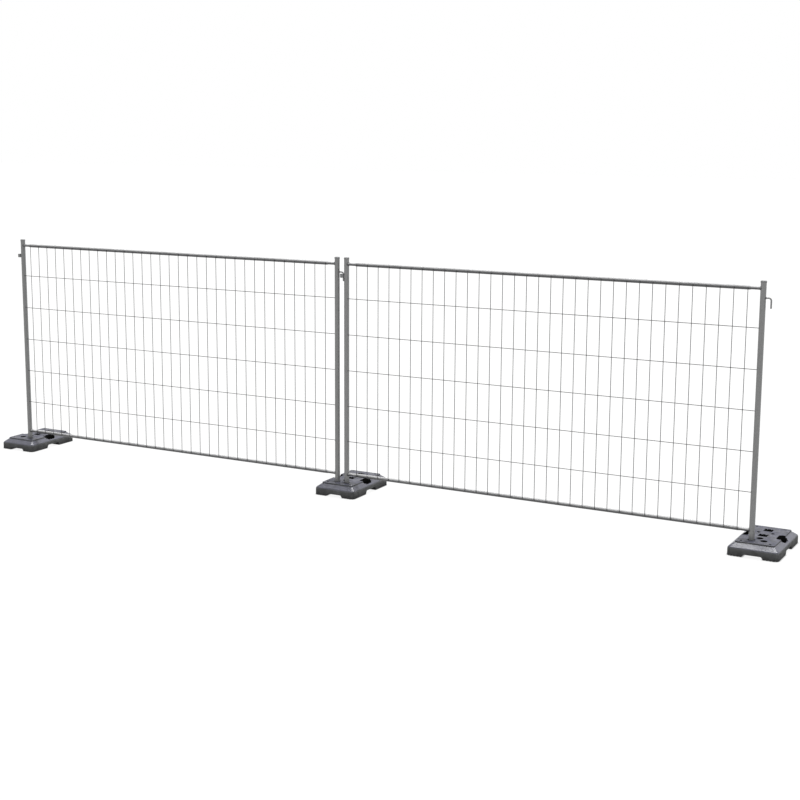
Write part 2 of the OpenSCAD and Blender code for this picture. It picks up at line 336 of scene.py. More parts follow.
def new_group(name, inputs, outputs):
    """A shader node group with named sockets: inputs are (name, kind, value), outputs are (name, kind)."""
    tree = bpy.data.node_groups.new(name, "ShaderNodeTree")
    for label, kind, value in inputs:
        socket = tree.interface.new_socket(label, in_out="INPUT", socket_type="NodeSocket" + kind)
        socket.default_value = value
    for label, kind in outputs:
        tree.interface.new_socket(label, in_out="OUTPUT", socket_type="NodeSocket" + kind)
    return tree, tree.nodes.new("NodeGroupInput").outputs, tree.nodes.new("NodeGroupOutput").inputs


def use_group(tree, group, values):
    """Places a node group in a material."""
    node = tree.nodes.new("ShaderNodeGroup")
    node.node_tree = group
    for socket, value in values.items():
        if isinstance(value, bpy.types.NodeSocket):
            tree.links.new(value, node.inputs[socket])
        else:
            node.inputs[socket].default_value = value
    return node.outputs


def new_material(name):
    """A node material; returns it with its tree and its Principled shader."""
    material = bpy.data.materials.new(name)
    material.use_nodes = True
    tree = material.node_tree
    return material, tree, tree.nodes["Principled BSDF"]


def uneven_tone():
    """Group: makes a colour lighter and darker in soft patches with finer specks inside them."""
    inputs = [("Color", "Color", (0.2, 0.2, 0.2, 1)), ("Patch Scale", "Float", 12),
              ("Speck Scale", "Float", 160), ("Amount", "Float", 0.3)]
    tree, given, gives = new_group("uneven tone", inputs, [("Color", "Color"), ("Patch", "Float")])
    where = place(tree, "ShaderNodeTexCoord").outputs["Object"]
    patch = place(tree, "ShaderNodeTexNoise", {"Vector": where, "Scale": given["Patch Scale"], "Detail": 5.0,
                                               "Roughness": 0.62}).outputs[0]
    speck = place(tree, "ShaderNodeTexNoise", {"Vector": where, "Scale": given["Speck Scale"],
                                               "Detail": 3.0}).outputs[0]
    both = maths(tree, "ADD", maths(tree, "MULTIPLY", patch, 1.3), maths(tree, "MULTIPLY", speck, 0.7))
    swing = maths(tree, "MULTIPLY", maths(tree, "SUBTRACT", both, 1.0), given["Amount"])
    factor = maths(tree, "MAXIMUM", maths(tree, "MULTIPLY_ADD", swing, 2.0, 1.0), 0.2)
    toned = place(tree, "ShaderNodeVectorMath", {0: given["Color"], 3: factor}, operation="SCALE")
    tree.links.new(toned.outputs[0], gives["Color"])
    tree.links.new(patch, gives["Patch"])
    return tree


def up_facing_dust_and_light():
    """Group: a mask of what faces up, broken by soft noise; on the caps it is settled dust, on the feet and the
    rails it carries painted light.
    """
    inputs = [("Steepest", "Float", 0.45), ("Scale", "Float", 25), ("Evenness", "Float", 0.4),
              ("Amount", "Float", 0.6)]
    tree, given, gives = new_group("up-facing dust and light", inputs, [("Mask", "Float")])
    normal = place(tree, "ShaderNodeNewGeometry").outputs["Normal"]
    up = place(tree, "ShaderNodeSeparateXYZ", {0: normal}).outputs[2]
    facing = stretch(tree, up, given["Steepest"], 0.98)
    where = place(tree, "ShaderNodeTexCoord").outputs["Object"]
    cloud = place(tree, "ShaderNodeTexNoise", {"Vector": where, "Scale": given["Scale"], "Detail": 6.0,
                                               "Roughness": 0.7}).outputs[0]
    broken = stretch(tree, cloud, 0.37, 0.6, given["Evenness"], 1.0)
    mask = maths(tree, "MULTIPLY", maths(tree, "MULTIPLY", facing, broken), given["Amount"])
    tree.links.new(mask, gives["Mask"])
    return tree


def worn_edges():
    """Group: a mask of the edges that hands, ground and other pieces rub bare."""
    inputs = [("Reach", "Float", 0.004), ("Scale", "Float", 60), ("Amount", "Float", 0.5)]
    tree, given, gives = new_group("worn edges", inputs, [("Mask", "Float")])
    flat = place(tree, "ShaderNodeNewGeometry").outputs["Normal"]
    rounded = place(tree, "ShaderNodeBevel", {"Radius": given["Reach"]}, samples=6).outputs[0]
    likeness = place(tree, "ShaderNodeVectorMath", {0: flat, 1: rounded}, operation="DOT_PRODUCT").outputs["Value"]
    edge = stretch(tree, likeness, 0.995, 0.9)
    where = place(tree, "ShaderNodeTexCoord").outputs["Object"]
    cloud = place(tree, "ShaderNodeTexNoise", {"Vector": where, "Scale": given["Scale"], "Detail": 4.0}).outputs[0]
    mask = maths(tree, "MULTIPLY", edge, stretch(tree, cloud, 0.35, 0.6))
    tree.links.new(maths(tree, "MULTIPLY", mask, given["Amount"]), gives["Mask"])
    return tree


def painted_corner_shade():
    """Group: a mask of painted shade in corners and recesses, by how closed in they are, broken by soft noise."""
    inputs = [("Reach", "Float", 0.05), ("Scale", "Float", 40), ("Amount", "Float", 0.7)]
    tree, given, gives = new_group("painted corner shade", inputs, [("Mask", "Float")])
    open_air = place(tree, "ShaderNodeAmbientOcclusion", {"Distance": given["Reach"]}, samples=8).outputs["AO"]
    corner = stretch(tree, open_air, 0.95, 0.45)
    where = place(tree, "ShaderNodeTexCoord").outputs["Object"]
    cloud = place(tree, "ShaderNodeTexNoise", {"Vector": where, "Scale": given["Scale"], "Detail": 5.0}).outputs[0]
    mask = maths(tree, "MULTIPLY", corner, stretch(tree, cloud, 0.3, 0.55, 0.5, 1.0))
    tree.links.new(maths(tree, "MULTIPLY", mask, given["Amount"]), gives["Mask"])
    return tree


UNEVEN_TONE = uneven_tone()
UP_FACING_DUST_AND_LIGHT = up_facing_dust_and_light()
WORN_EDGES = worn_edges()
PAINTED_CORNER_SHADE = painted_corner_shade()


def bump(tree, shader, height, depth):
    """Lets a height in the material show as relief of that depth in metres."""
    relief = place(tree, "ShaderNodeBump", {"Strength": 1.0, "Distance": depth, "Height": height})
    tree.links.new(relief.outputs[0], shader.inputs["Normal"])


def recycled_plastic():
    """Foot material: dark mottled plastic, scuffed along its edges; its walls are painted lighter and its top darker
    to even out how the light falls on them, and a lilac light is painted on what faces up.
    """
    # Painted light and shade: walls, slopes and top differ in colour only for how the light falls on them.
    wall, slope, top = (0.174, 0.178, 0.179, 1), (0.055, 0.057, 0.082, 1), (0.041, 0.042, 0.052, 1)
    lilac_top_light, scuff_grey, shade_black = (0.133, 0.137, 0.190, 1), (0.30, 0.30, 0.33, 1), (0.028, 0.028, 0.030, 1)
    matt = 0.95
    material, tree, shader = new_material("recycled_plastic")
    normal = place(tree, "ShaderNodeNewGeometry").outputs["Normal"]
    up = place(tree, "ShaderNodeSeparateXYZ", {0: normal}).outputs[2]
    sloping = stretch(tree, up, 0.35, 0.75)
    level = stretch(tree, up, 0.9, 0.98)
    sides_by_facing = mix_colours(tree, sloping, wall, slope)
    plain = mix_colours(tree, level, sides_by_facing, top)
    body = use_group(tree, UNEVEN_TONE, {"Color": plain, "Patch Scale": 13, "Speck Scale": 220, "Amount": 0.6})
    # Painted light: a lilac light from above, in patches on what faces up.
    dust_and_top_light = use_group(tree, UP_FACING_DUST_AND_LIGHT, {"Steepest": 0.3, "Scale": 20, "Evenness": 0.1, "Amount": 0.7})["Mask"]
    worn = use_group(tree, WORN_EDGES, {"Reach": 0.005, "Scale": 70, "Amount": 0.55})["Mask"]
    # Painted shade: closed-in corners and recesses go near black, matt and without coat.
    corner_shade = use_group(tree, PAINTED_CORNER_SHADE, {"Reach": 0.06, "Scale": 30, "Amount": 0.8})["Mask"]
    dusty_and_lit = mix_colours(tree, dust_and_top_light, body["Color"], lilac_top_light)
    scuffed = mix_colours(tree, worn, dusty_and_lit, scuff_grey)
    tree.links.new(mix_colours(tree, corner_shade, scuffed, shade_black), shader.inputs["Base Color"])
    faced = mix_values(tree, sloping, matt, stretch(tree, body["Patch"], 0.3, 0.7, 0.45, 0.75))
    tree.links.new(mix_values(tree, corner_shade, faced, matt), shader.inputs["Roughness"])
    shader.inputs["Specular IOR Level"].default_value = 0.2
    polish = mix_values(tree, level, sloping, stretch(tree, body["Patch"], 0.35, 0.65, 0.5, 0.05))
    tree.links.new(mix_values(tree, corner_shade, polish, 0.0), shader.inputs["Coat Weight"])
    shader.inputs["Coat Roughness"].default_value = 0.29
    where = place(tree, "ShaderNodeTexCoord").outputs["Object"]
    grain = place(tree, "ShaderNodeTexNoise", {"Vector": where, "Scale": 380.0, "Detail": 4.0}).outputs[0]
    lumps = place(tree, "ShaderNodeTexNoise", {"Vector": where, "Scale": 45.0, "Detail": 3.0}).outputs[0]
    bump(tree, shader, maths(tree, "MULTIPLY_ADD", lumps, 2.0, grain), 0.0003)
    return material


def painted_hole_shade():
    """Inside of the holes: the same plastic, painted near black and matt as the shade that fills them."""
    material, tree, shader = new_material("painted_hole_shade")
    tone = use_group(tree, UNEVEN_TONE, {"Color": (0.02, 0.02, 0.02, 1), "Patch Scale": 30, "Speck Scale": 300,
                                         "Amount": 0.4})
    tree.links.new(tone["Color"], shader.inputs["Base Color"])
    tree.links.new(stretch(tree, tone["Patch"], 0.3, 0.7, 0.8, 0.95), shader.inputs["Roughness"])
    shader.inputs["Specular IOR Level"].default_value = 0.0
    return material


foot_material = recycled_plastic()
hole_shade_material = painted_hole_shade()
foot_shape = cut_away(foot_block(), [
    channel(*LONG_CHANNEL, FOOT_HALF_L + PAST, along_x=False),
    channel(*CROSS_CHANNEL, FOOT_HALF_W + PAST, along_x=True),
    tread_grooves(),
    foot_holes(),
], foot_material, hole_shade_material)
for foot in FEET:
    low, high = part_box(foot)
    mesh = foot_shape.copy()
    for vertex in mesh.vertices:
        vertex.co.x += (low.x + high.x) / 2
    piece = add_piece(foot + "_block", smooth(mesh), foot, "foot_plastic", foot_material, foot)
    even = piece.modifiers.new("even shading", "WEIGHTED_NORMAL")
    even.keep_sharp = True


# Posts
# Four round steel tubes, welded along a seam and hot-dip galvanised with the finished panel. Each stands
# loose in its foot and carries the rails, the wire ends and the hook or the eye.
PANELS = ("left_panel", "right_panel")
ENDS = ("left", "right")
post_low, post_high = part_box("left_panel_left_post")
POST_R = (post_high.x - post_low.x) / 2
POST_WALL = 1.5 * MM
POST_TOP = post_high.z
TUBE_SIDES = 48
SEAM_AT = {"left": 17, "right": 31}


def post_axis(panel, end):
    """X of a post's axis."""
    low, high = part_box(f"{panel}_{end}_post")
    return (low.x + high.x) / 2


def turned(bm, profile, x, y, sides, seam_at=None, seam_height=0.25 * MM):
    """A closed profile of (radius, z) turned about an upright axis, with a weld seam down one side if asked."""
    rings = []
    widest = max(radius for radius, z in profile)
    for i in range(sides):
        turn = 2 * math.pi * i / sides
        rise = seam_height if i == seam_at else 0
        reached = [(r + (rise if r == widest else 0), z) for r, z in profile]
        rings.append([(x + r * math.cos(turn), y + r * math.sin(turn), z) for r, z in reached])
    skin(bm, rings, loop=True)


def zinc_spangle():
    """Group: the crystals and runs of a hot-dip zinc coat, as a tone, a roughness and a height."""
    inputs = [("Crystal Scale", "Float", 90), ("Run Scale", "Float", 9), ("Run Stretch", "Vector", (1, 1, 0.06))]
    outputs = [("Tone", "Float"), ("Roughness", "Float"), ("Height", "Float")]
    tree, given, gives = new_group("zinc spangle", inputs, outputs)
    where = place(tree, "ShaderNodeTexCoord").outputs["Object"]
    wobble = place(tree, "ShaderNodeTexNoise", {"Vector": where, "Scale": 60.0, "Detail": 2.0}).outputs[1]
    bent = place(tree, "ShaderNodeVectorMath", {0: wobble, 1: (0.012, 0.012, 0.012), 2: where},
                 operation="MULTIPLY_ADD").outputs[0]
    crystals = place(tree, "ShaderNodeTexVoronoi", {"Vector": bent, "Scale": given["Crystal Scale"]})
    shade = place(tree, "ShaderNodeSeparateColor", {0: crystals.outputs["Color"]}).outputs[0]
    along = place(tree, "ShaderNodeVectorMath", {0: where, 1: given["Run Stretch"]},
                  operation="MULTIPLY").outputs[0]
    run = place(tree, "ShaderNodeTexNoise", {"Vector": along, "Scale": given["Run Scale"], "Detail": 6.0,
                                             "Roughness": 0.6}).outputs[0]
    tone = maths(tree, "ADD", maths(tree, "MULTIPLY_ADD", shade, 0.10, 0.95),
                 maths(tree, "MULTIPLY_ADD", run, 0.5, -0.25))
    tree.links.new(tone, gives["Tone"])
    sheen = maths(tree, "MULTIPLY_ADD", run, 0.25, maths(tree, "MULTIPLY", shade, 0.06))
    tree.links.new(sheen, gives["Roughness"])
    tree.links.new(maths(tree, "MULTIPLY_ADD", shade, 0.4, run), gives["Height"])
    return tree


ZINC_SPANGLE = zinc_spangle()


def zinc(name, colour, roughness, crystal_scale, run_stretch, dust_and_top_light=0.0, worn=0.0, metallic=0.55, specular=0.5):
    """Galvanised steel: a dull grey coat with crystals and runs, with a pale matt painted highlight on top if asked,
    or rubbed bright on its edges.
    """
    painted_highlight_grey, rubbed_grey = (0.78, 0.78, 0.79, 1), (0.45, 0.45, 0.47, 1)
    highlight_roughness = 0.8
    material, tree, shader = new_material(name)
    coat = use_group(tree, ZINC_SPANGLE, {"Crystal Scale": crystal_scale, "Run Stretch": run_stretch})
    toned = place(tree, "ShaderNodeVectorMath", {0: colour, 3: coat["Tone"]}, operation="SCALE").outputs[0]
    dulled = maths(tree, "ADD", coat["Roughness"], roughness)
    shader.inputs["Metallic"].default_value = metallic
    shader.inputs["Specular IOR Level"].default_value = specular
    # Painted highlight: what faces up turns pale, matt and no longer metallic.
    if dust_and_top_light:
        lit_top = use_group(tree, UP_FACING_DUST_AND_LIGHT, {"Steepest": 0.0, "Scale": 4, "Evenness": 0.6, "Amount": dust_and_top_light})
        toned = mix_colours(tree, lit_top["Mask"], toned, painted_highlight_grey)
        dulled = mix_values(tree, lit_top["Mask"], dulled, highlight_roughness)
        tree.links.new(mix_values(tree, lit_top["Mask"], metallic, 0.0), shader.inputs["Metallic"])
    if worn:
        rubbed = use_group(tree, WORN_EDGES, {"Reach": 0.002, "Scale": 150, "Amount": worn})
        toned = mix_colours(tree, rubbed["Mask"], toned, rubbed_grey)
    tree.links.new(toned, shader.inputs["Base Color"])
    tree.links.new(dulled, shader.inputs["Roughness"])
    bump(tree, shader, coat["Height"], 0.00015)
    return material


post_material = zinc("galvanised_post", (0.285, 0.287, 0.286), 0.30, 85, (1, 1, 0.06))
for panel in PANELS:
    for end in ENDS:
        bm = bmesh.new()
        rim = 0.5 * MM
        outline = [(POST_R - rim, 0), (POST_R, rim), (POST_R, POST_TOP - rim), (POST_R - rim, POST_TOP),
                   (POST_R - POST_WALL, POST_TOP), (POST_R - POST_WALL, 0)]
        turned(bm, outline, post_axis(panel, end), POST_Y, TUBE_SIDES, seam_at=SEAM_AT[end])
        add_piece(f"{panel}_{end}_tube", smooth(as_mesh(bm, f"{panel}_{end}_tube")), panel, "galvanised_tube",
                  post_material, f"{panel}_{end}_post")


# Rails
# Two lighter round tubes between the posts of each panel. Their ends are pressed low, cut to the round of
# the posts and welded on all round.
RAIL_D = 30 * MM
RAIL_END_H = 22 * MM
RAIL_END_W = RAIL_END_H + math.pi * (RAIL_D - RAIL_END_H) / 2
RAIL_END_L = 80 * MM
RAIL_FLAT_L = 58 * MM
RAIL_SIDES = 40


def rail_section(press):
    """Section of a rail as (y, z): round at press 0, low and wide with round edges at press 1."""
    height = RAIL_D + (RAIL_END_H - RAIL_D) * press
    width = RAIL_D + (RAIL_END_W - RAIL_D) * press
    points = []
    for i in range(RAIL_SIDES):
        turn = 2 * math.pi * (i + 0.5) / RAIL_SIDES
        shift = math.copysign((width - height) / 2, math.cos(turn))
        points.append((shift + height / 2 * math.cos(turn), height / 2 * math.sin(turn)))
    return points


def on_post(axis_x, side, y):
    """X where a point y beside a post's axis meets its wall: its left wall for side -1, its right wall for 1."""
    return axis_x + side * math.sqrt(POST_R ** 2 - y ** 2)


def rail(bm, left_x, right_x, z):
    """A rail between the posts at left_x and right_x, at height z."""
    steps = 8
    rings = []
    for axis_x, side in ((left_x, 1), (right_x, -1)):
        wall = axis_x + side * POST_R
        half = [[(on_post(axis_x, side, y), POST_Y + y, z + h) for y, h in rail_section(1)]]
        for k in range(steps + 1):
            t = k / steps
            x = wall + side * (RAIL_FLAT_L + (RAIL_END_L - RAIL_FLAT_L) * t)
            half.append([(x, POST_Y + y, z + h) for y, h in rail_section(1 - t * t * (3 - 2 * t))])
        rings += half if side > 0 else half[::-1]
    skin(bm, rings)


# The rails' zinc is painted darker than the posts' for the shade on their undersides, and their pale tops are a
# painted highlight.
rail_material = zinc("galvanised_rail", (0.115, 0.116, 0.119), 0.18, 95, (0.06, 1, 1), dust_and_top_light=1.0)
for panel in PANELS:
    left_x, right_x = (post_axis(panel, end) for end in ENDS)
    for place_name in ("top_rail", "bottom_rail"):
        low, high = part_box(f"{panel}_{place_name}")
        bm = bmesh.new()
        rail(bm, left_x, right_x, (low.z + high.z) / 2)
        add_piece(f"{panel}_{place_name}_tube", smooth(as_mesh(bm, place_name)), panel, "galvanised_tube",
                  rail_material, f"{panel}_{place_name}")


# Mesh wires
# Straight drawn wires, welded where they cross: upright ones on the front of both rails, and five level
# ones behind them that end on the posts.
wire_low, wire_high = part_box("left_panel_vertical_wires")
WIRE_R = (wire_high.y - wire_low.y) / 2
WIRE_PITCH = 100 * MM
ROW_PITCH = 300 * MM
WIRE_SIDES = 12
SHEAR_L = 0.6 * MM
SHEAR_R = 0.75 * WIRE_R
WIRE_GREY = (0.105, 0.105, 0.107)


def sweep(bm, points, guides, radii, sides, loop=False):
    """A round bar of changing radius along points; guides are directions across it that set its rings."""
    count = len(points)
    rings = []
    for i, point in enumerate(points):
        before = points[i - 1] if loop or i else point
        after = points[(i + 1) % count] if loop or i < count - 1 else point
        along = (Vector(after) - Vector(before)).normalized()
        guide = Vector(guides[i % len(guides)])
        across = (guide - along * guide.dot(along)).normalized()
        other = along.cross(across)
        turns = [2 * math.pi * k / sides for k in range(sides)]
        rings.append([Vector(point) + (across * math.cos(a) + other * math.sin(a)) * radii[i] for a in turns])
    skin(bm, rings, loop)


def wire(bm, start, end, guide):
    """A wire with sheared ends from start to end."""
    start, end = Vector(start), Vector(end)
    step = (end - start).normalized() * SHEAR_L
    sweep(bm, [start, start + step, end - step, end], [guide], [SHEAR_R, WIRE_R, WIRE_R, SHEAR_R], WIRE_SIDES)


def spread(low, high, pitch, margin):
    """Even places at that pitch, centred between low and high with about a margin left at each end."""
    count = round((high - low - 2 * margin) / pitch) + 1
    first = (low + high) / 2 - (count - 1) * pitch / 2
    return [first + i * pitch for i in range(count)]


def mesh_places(panel):
    """X of a panel's upright wires, Z of its level ones, and the Y of each kind."""
    low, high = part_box(f"{panel}_vertical_wires")
    row_low, row_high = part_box(f"{panel}_horizontal_wires")
    columns = spread(low.x, high.x, WIRE_PITCH, WIRE_R)
    rows = spread(row_low.z, row_high.z, ROW_PITCH, WIRE_R)
    return columns, rows, (low.y + high.y) / 2, (row_low.y + row_high.y) / 2


wire_material = zinc("galvanised_wire", WIRE_GREY, 0.42, 160, (1, 1, 0.05), metallic=0.4, specular=0.3)
row_material = zinc("galvanised_row_wire", WIRE_GREY, 0.42, 160, (0.05, 1, 1), metallic=0.4, specular=0.3)
for panel in PANELS:
    columns, rows, column_y, row_y = mesh_places(panel)
    low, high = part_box(f"{panel}_vertical_wires")
    bm = bmesh.new()
    for x in columns:
        wire(bm, (x, column_y, low.z), (x, column_y, high.z), (1, 0, 0))
    add_piece(f"{panel}_upright_wires", smooth(as_mesh(bm, "upright_wires")), panel, "galvanised_wire",
              wire_material, f"{panel}_vertical_wires")
    low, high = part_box(f"{panel}_horizontal_wires")
    bm = bmesh.new()
    for z in rows:
        wire(bm, (low.x, row_y, z), (high.x, row_y, z), (0, 0, 1))
    add_piece(f"{panel}_level_wires", smooth(as_mesh(bm, "level_wires")), panel, "galvanised_wire",
              row_material, f"{panel}_horizontal_wires")


# Mesh weld spots
# The small squeezed lumps that resistance welding leaves where wires cross, where they lie on the rails,
# and where the level wires end on the posts. They are covered by the same zinc as the wires.
CROSSING_SPOT = (2.7 * MM, 2.4 * MM, 2.7 * MM)
RAIL_SPOT = (2.9 * MM, 1.3 * MM, 4 * MM)
RAIL_SPOT_BEHIND = 1.6 * MM
END_SPOT = (3 * MM, 2.9 * MM, 3 * MM)
dice = random.Random(7)


def weld_spot(bm, centre, size):
    """A squeezed lump, a little different each time."""
    made = bmesh.ops.create_uvsphere(bm, u_segments=10, v_segments=6, radius=1)["verts"]
    stretch_by = [part * dice.uniform(0.9, 1.12) for part in size]
    lean = dice.uniform(-0.15, 0.15)
    for vertex in made:
        x, y, z = vertex.co
        vertex.co = Vector(centre) + Vector(((x + lean * z) * stretch_by[0], y * stretch_by[1], z * stretch_by[2]))


spot_material = zinc("galvanised_spots", (0.12, 0.12, 0.122), 0.42, 220, (1, 1, 1), metallic=0.4, specular=0.3)
for panel in PANELS:
    columns, rows, column_y, row_y = mesh_places(panel)
    bm = bmesh.new()
    rail_levels = []
    for place_name in ("top_rail", "bottom_rail"):
        low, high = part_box(f"{panel}_{place_name}")
        rail_levels.append((low.z + high.z) / 2)
    for x in columns:
        for z in rows:
            weld_spot(bm, (x, (column_y + row_y) / 2, z), CROSSING_SPOT)
        for z in rail_levels:
            weld_spot(bm, (x, column_y + RAIL_SPOT_BEHIND, z), RAIL_SPOT)
    low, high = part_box(f"{panel}_horizontal_wires")
    for x in (low.x, high.x):
        for z in rows:
            weld_spot(bm, (x, row_y, z), END_SPOT)
    add_piece(f"{panel}_weld_spots", smooth(as_mesh(bm, "weld_spots"), 60), panel, "galvanised_wire",
              spot_material)


# Rail welds
# Beads of weld steel, run by hand right round each pressed rail end where it meets its post, and zinc-coated
# with the finished panel.
def bead(bm, points, guides, radius, ripple=2.6 * MM, loop=True):
    """A rippled weld bead along points; ripple is the length of one wave."""
    count = len(points)
    length = sum((Vector(points[i]) - Vector(points[i - 1])).length for i in range(1, count))
    waves = max(1, round(length / ripple))
    ripple_height, unevenness = 0.10, 0.05
    radii = []
    for i in range(count):
        swell = 1 + ripple_height * math.sin(2 * math.pi * waves * i / count) + dice.uniform(-unevenness, unevenness)
        taper = 1 if loop else math.sin(math.pi * (i + 0.35) / (count - 0.3)) ** 0.35
        radii.append(radius * swell * taper)
    sweep(bm, points, guides, radii, 10, loop)


def round_the_end(axis_x, side, section, z):
    """Points and outward directions where a bar of that section meets a post."""
    points = [(on_post(axis_x, side, y), POST_Y + y, z + h) for y, h in section]
    guides = [(x - axis_x, y - POST_Y, 0) for x, y, h in points]
    return points, guides


def finer(section, times=3):
    """The same closed outline with more points along it."""
    count = len(section)
    return [tuple(a + (b - a) * k / times for a, b in zip(section[i], section[(i + 1) % count]))
            for i in range(count) for k in range(times)]


def weld_metal():
    """Weld material: darker, rougher steel under a thin zinc coat, with fine spatter."""
    material, tree, shader = new_material("weld_bead")
    tone = use_group(tree, UNEVEN_TONE, {"Color": (0.135, 0.135, 0.138, 1), "Patch Scale": 120, "Speck Scale": 900,
                                         "Amount": 0.35})
    tree.links.new(tone["Color"], shader.inputs["Base Color"])
    tree.links.new(stretch(tree, tone["Patch"], 0.3, 0.7, 0.4, 0.65), shader.inputs["Roughness"])
    shader.inputs["Metallic"].default_value = 0.5
    bump(tree, shader, tone["Patch"], 0.0006)
    return material


weld_material = weld_metal()
RAIL_BEAD_R = 3.2 * MM
for panel in PANELS:
    bm = bmesh.new()
    for place_name in ("top_rail", "bottom_rail"):
        low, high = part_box(f"{panel}_{place_name}")
        for end, side in (("left", 1), ("right", -1)):
            section = finer(rail_section(1))
            points, guides = round_the_end(post_axis(panel, end), side, section, (low.z + high.z) / 2)
            bead(bm, points, guides, RAIL_BEAD_R)
    add_piece(f"{panel}_rail_beads", smooth(as_mesh(bm, "rail_beads"), 60), panel, "weld_metal",
              weld_material, f"{panel}_rail_welds")


# Hooks
# One length of round bar on each panel's right post, bent down at a right angle and cut off blunt. Its
# leg drops into the next panel's eye.
HOOK_R = 6 * MM
HOOK_BEND = 18 * MM
HOOK_SIDES = 24
hook_material = zinc("galvanised_hook", (0.275, 0.277, 0.28), 0.34, 140, (1, 1, 0.3), worn=0.5)
for panel in PANELS:
    low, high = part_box(f"{panel}_hook")
    post_x = post_axis(panel, "right")
    arm_z = high.z - HOOK_R
    leg_x = high.x - HOOK_R
    bend = [math.radians(10 * k) for k in range(10)]
    # Each step of the blunt tip: how far it is past the straight leg in mm, and its share of the radius.
    tip = [(2.4, 0.62), (1.0, 0.9), (0, 1), (-2, 1)]
    arm_l, tip_l = 8 * MM, 3 * MM
    points = [(leg_x - HOOK_BEND - arm_l, POST_Y, arm_z)]
    points += [(leg_x - HOOK_BEND * (1 - math.sin(a)), POST_Y, arm_z - HOOK_BEND * (1 - math.cos(a)))
               for a in bend]
    points += [(leg_x, POST_Y, low.z + tip_l - past * MM) for past, size in tip[::-1]]
    radii = [HOOK_R] * (1 + len(bend)) + [HOOK_R * size for past, size in tip[::-1]]
    bm = bmesh.new()
    sweep(bm, points, [(0, 1, 0)], radii, HOOK_SIDES)
    bm.verts.ensure_lookup_table()
    for vertex in bm.verts[:HOOK_SIDES]:
        vertex.co.x = on_post(post_x, 1, vertex.co.y - POST_Y)
    add_piece(f"{panel}_hook_bar", smooth(as_mesh(bm, "hook_bar")), panel, "galvanised_bar", hook_material,
              f"{panel}_hook")


# Eyes
# A short piece of thick tube stood upright on the outer side of each panel's left post, filed smooth at
# its rims, for the neighbour's hook to drop into.
EYE_R = 19.4 * MM
EYE_BORE_R = 16.5 * MM
eye_material = zinc("galvanised_eye", (0.275, 0.277, 0.28), 0.34, 120, (1, 1, 0.3), worn=0.6)


def eye_axis(panel):
    """X of an eye's axis, from its outer edge."""
    low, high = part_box(f"{panel}_eye")
    return low.x + EYE_R


for panel in PANELS:
    low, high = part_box(f"{panel}_eye")
    rim = 0.8 * MM
    outline = [(EYE_R - rim, low.z), (EYE_R, low.z + rim), (EYE_R, high.z - rim), (EYE_R - rim, high.z),
               (EYE_BORE_R + rim, high.z), (EYE_BORE_R, high.z - rim), (EYE_BORE_R, low.z + rim),
               (EYE_BORE_R + rim, low.z)]
    bm = bmesh.new()
    turned(bm, outline, eye_axis(panel), POST_Y, TUBE_SIDES)
    add_piece(f"{panel}_eye_ring", smooth(as_mesh(bm, "eye_ring")), panel, "galvanised_bar", eye_material,
              f"{panel}_eye")


# Hook and eye welds
# Beads of the same weld steel: one round the foot of each hook, and one up each of the two corners between an
# eye and its post.
HOOK_BEAD_R = 2.8 * MM
HOOK_BEAD_STEPS = 40
EYE_BEAD_R = 3 * MM
EYE_BEAD_STEPS = 30
EYE_BEAD_MARGIN = 4 * MM
for panel in PANELS:
    low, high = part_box(f"{panel}_hook")
    arm_z = high.z - HOOK_R
    turns = [2 * math.pi * k / HOOK_BEAD_STEPS for k in range(HOOK_BEAD_STEPS)]
    ring = [(HOOK_R * math.cos(turn), HOOK_R * math.sin(turn)) for turn in turns]
    points, guides = round_the_end(post_axis(panel, "right"), 1, ring, arm_z)
    bm = bmesh.new()
    bead(bm, points, guides, HOOK_BEAD_R)
    low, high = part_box(f"{panel}_eye")
    post_x = post_axis(panel, "left")
    apart = post_x - eye_axis(panel)
    to_post = POST_R + EYE_BEAD_R / 2
    to_eye = EYE_R + EYE_BEAD_R / 2
    beside = (apart ** 2 + to_post ** 2 - to_eye ** 2) / (2 * apart)
    out = math.sqrt(to_post ** 2 - beside ** 2)
    start_z = low.z + EYE_BEAD_MARGIN
    span = high.z - low.z - 2 * EYE_BEAD_MARGIN
    for side in (-1, 1):
        points = [(post_x - beside, POST_Y + side * out, start_z + span * k / EYE_BEAD_STEPS)
                  for k in range(EYE_BEAD_STEPS + 1)]
        bead(bm, points, [(0, side, 0)], EYE_BEAD_R, loop=False)
    add_piece(f"{panel}_coupling_beads", smooth(as_mesh(bm, "coupling_beads"), 60), panel, "weld_metal",
              weld_material, f"{panel}_coupling_welds")


# Post caps
# Covers of grey plastic, moulded with a rounded rim and pushed over the tops of the posts to keep rain out.
# Friction alone holds them.
cap_low, cap_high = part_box("left_panel_post_caps")
CAP_R = 22.5 * MM
CAP_T = 2 * MM


